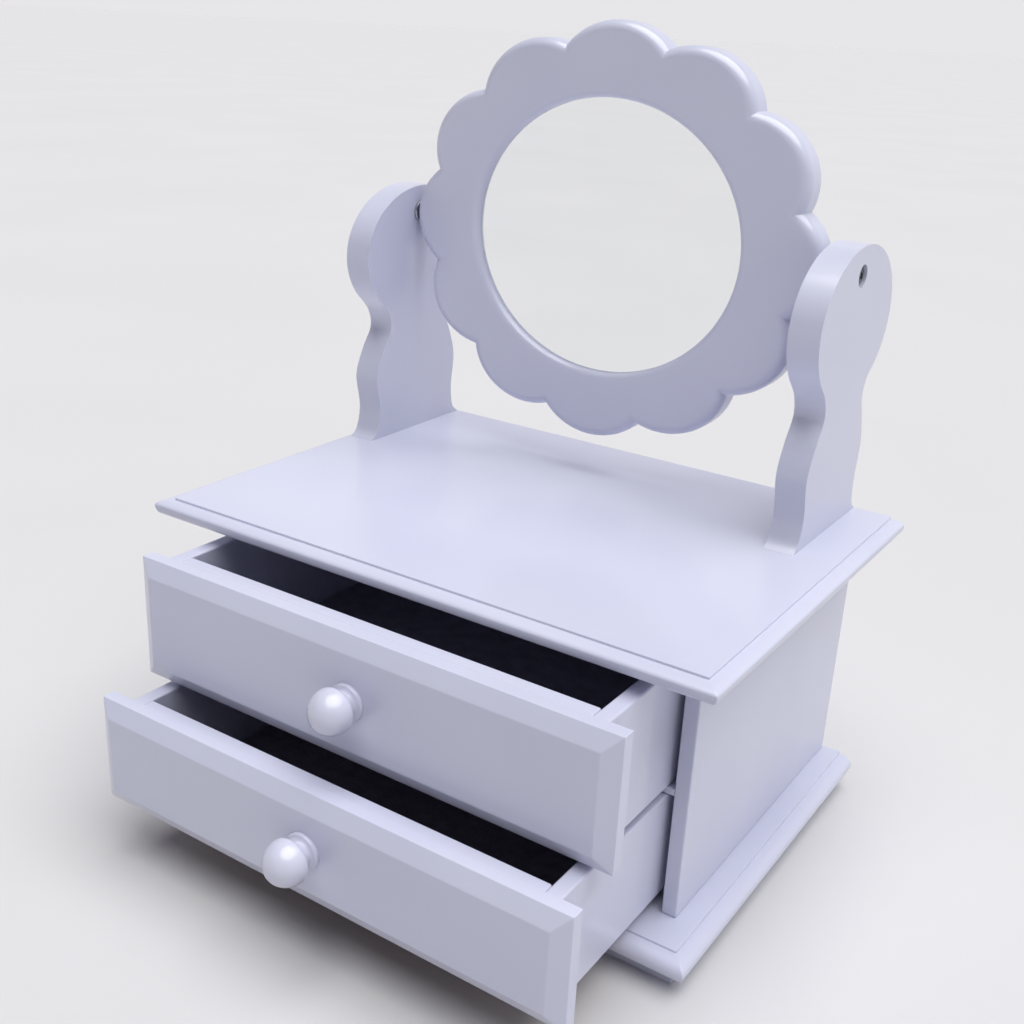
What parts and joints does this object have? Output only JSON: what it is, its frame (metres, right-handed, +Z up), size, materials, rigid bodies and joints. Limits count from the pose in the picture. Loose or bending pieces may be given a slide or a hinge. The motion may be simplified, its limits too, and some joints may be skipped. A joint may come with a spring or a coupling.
{
  "type": "jewelry box",
  "caption": "White lacquered dressing-table jewelry box with pull-out felt-lined drawers under a moulded top, and a scalloped mirror tilting between shaped posts",
  "frame": {"origin": "centre of the case on the underside of the base board, which stands on the table", "axes": "+X to the right seen from the front, +Y to the back, +Z up"},
  "size_m": [0.2816, 0.2884, 0.3606],
  "materials": {
    "white_lacquer": "white satin lacquer sprayed on fibreboard",
    "bare_board": "uncoated hardboard and softwood",
    "dark_felt": "charcoal felt",
    "silvered_glass": "silvered float glass",
    "zinc_steel": "zinc plated steel",
    "dark_steel": "blackened steel"
  },
  "bodies": {
    "case": {"base_board": "white_lacquer", "top_board": "white_lacquer", "left_side_panel": "white_lacquer", "right_side_panel": "white_lacquer", "back_panel": "white_lacquer", "divider_shelf": "white_lacquer", "left_drawer_runner": "bare_board", "right_drawer_runner": "bare_board", "left_post": "white_lacquer", "right_post": "white_lacquer", "left_post_screw_front": "zinc_steel", "left_post_screw_rear": "zinc_steel", "right_post_screw_front": "zinc_steel", "right_post_screw_rear": "zinc_steel"},
    "upper_drawer": {"upper_drawer_front": "white_lacquer", "upper_drawer_inner_front": "white_lacquer", "upper_drawer_left_side": "white_lacquer", "upper_drawer_right_side": "white_lacquer", "upper_drawer_back": "white_lacquer", "upper_drawer_knob": "white_lacquer", "upper_drawer_bottom": "bare_board", "upper_drawer_lining": "dark_felt", "upper_drawer_knob_screw": "zinc_steel"},
    "lower_drawer": {"lower_drawer_front": "white_lacquer", "lower_drawer_inner_front": "white_lacquer", "lower_drawer_left_side": "white_lacquer", "lower_drawer_right_side": "white_lacquer", "lower_drawer_back": "white_lacquer", "lower_drawer_knob": "white_lacquer", "lower_drawer_bottom": "bare_board", "lower_drawer_lining": "dark_felt", "lower_drawer_knob_screw": "zinc_steel"},
    "mirror": {"mirror_frame": "white_lacquer", "mirror_glass": "silvered_glass", "mirror_backing": "bare_board", "backing_clip_1": "zinc_steel", "backing_clip_2": "zinc_steel", "backing_clip_3": "zinc_steel", "backing_clip_4": "zinc_steel", "backing_clip_screw_1": "zinc_steel", "backing_clip_screw_2": "zinc_steel", "backing_clip_screw_3": "zinc_steel", "backing_clip_screw_4": "zinc_steel", "left_pivot_screw": "dark_steel", "right_pivot_screw": "dark_steel", "left_pivot_washer": "zinc_steel", "right_pivot_washer": "zinc_steel"}
  },
  "joints": [
    {"name": "upper_drawer_slide", "type": "slide", "parent": "case", "child": "upper_drawer", "axis": [0, -1, 0], "range_m": [-0.0549, 0.065]},
    {"name": "lower_drawer_slide", "type": "slide", "parent": "case", "child": "lower_drawer", "axis": [0, -1, 0], "range_m": [-0.0812, 0.0385]},
    {"name": "mirror_pivot", "type": "hinge", "parent": "case", "child": "mirror", "pos_m": [-0.0092, 0.0485, 0.2642], "axis": [1, 0, 0], "continuous": true}
  ]
}
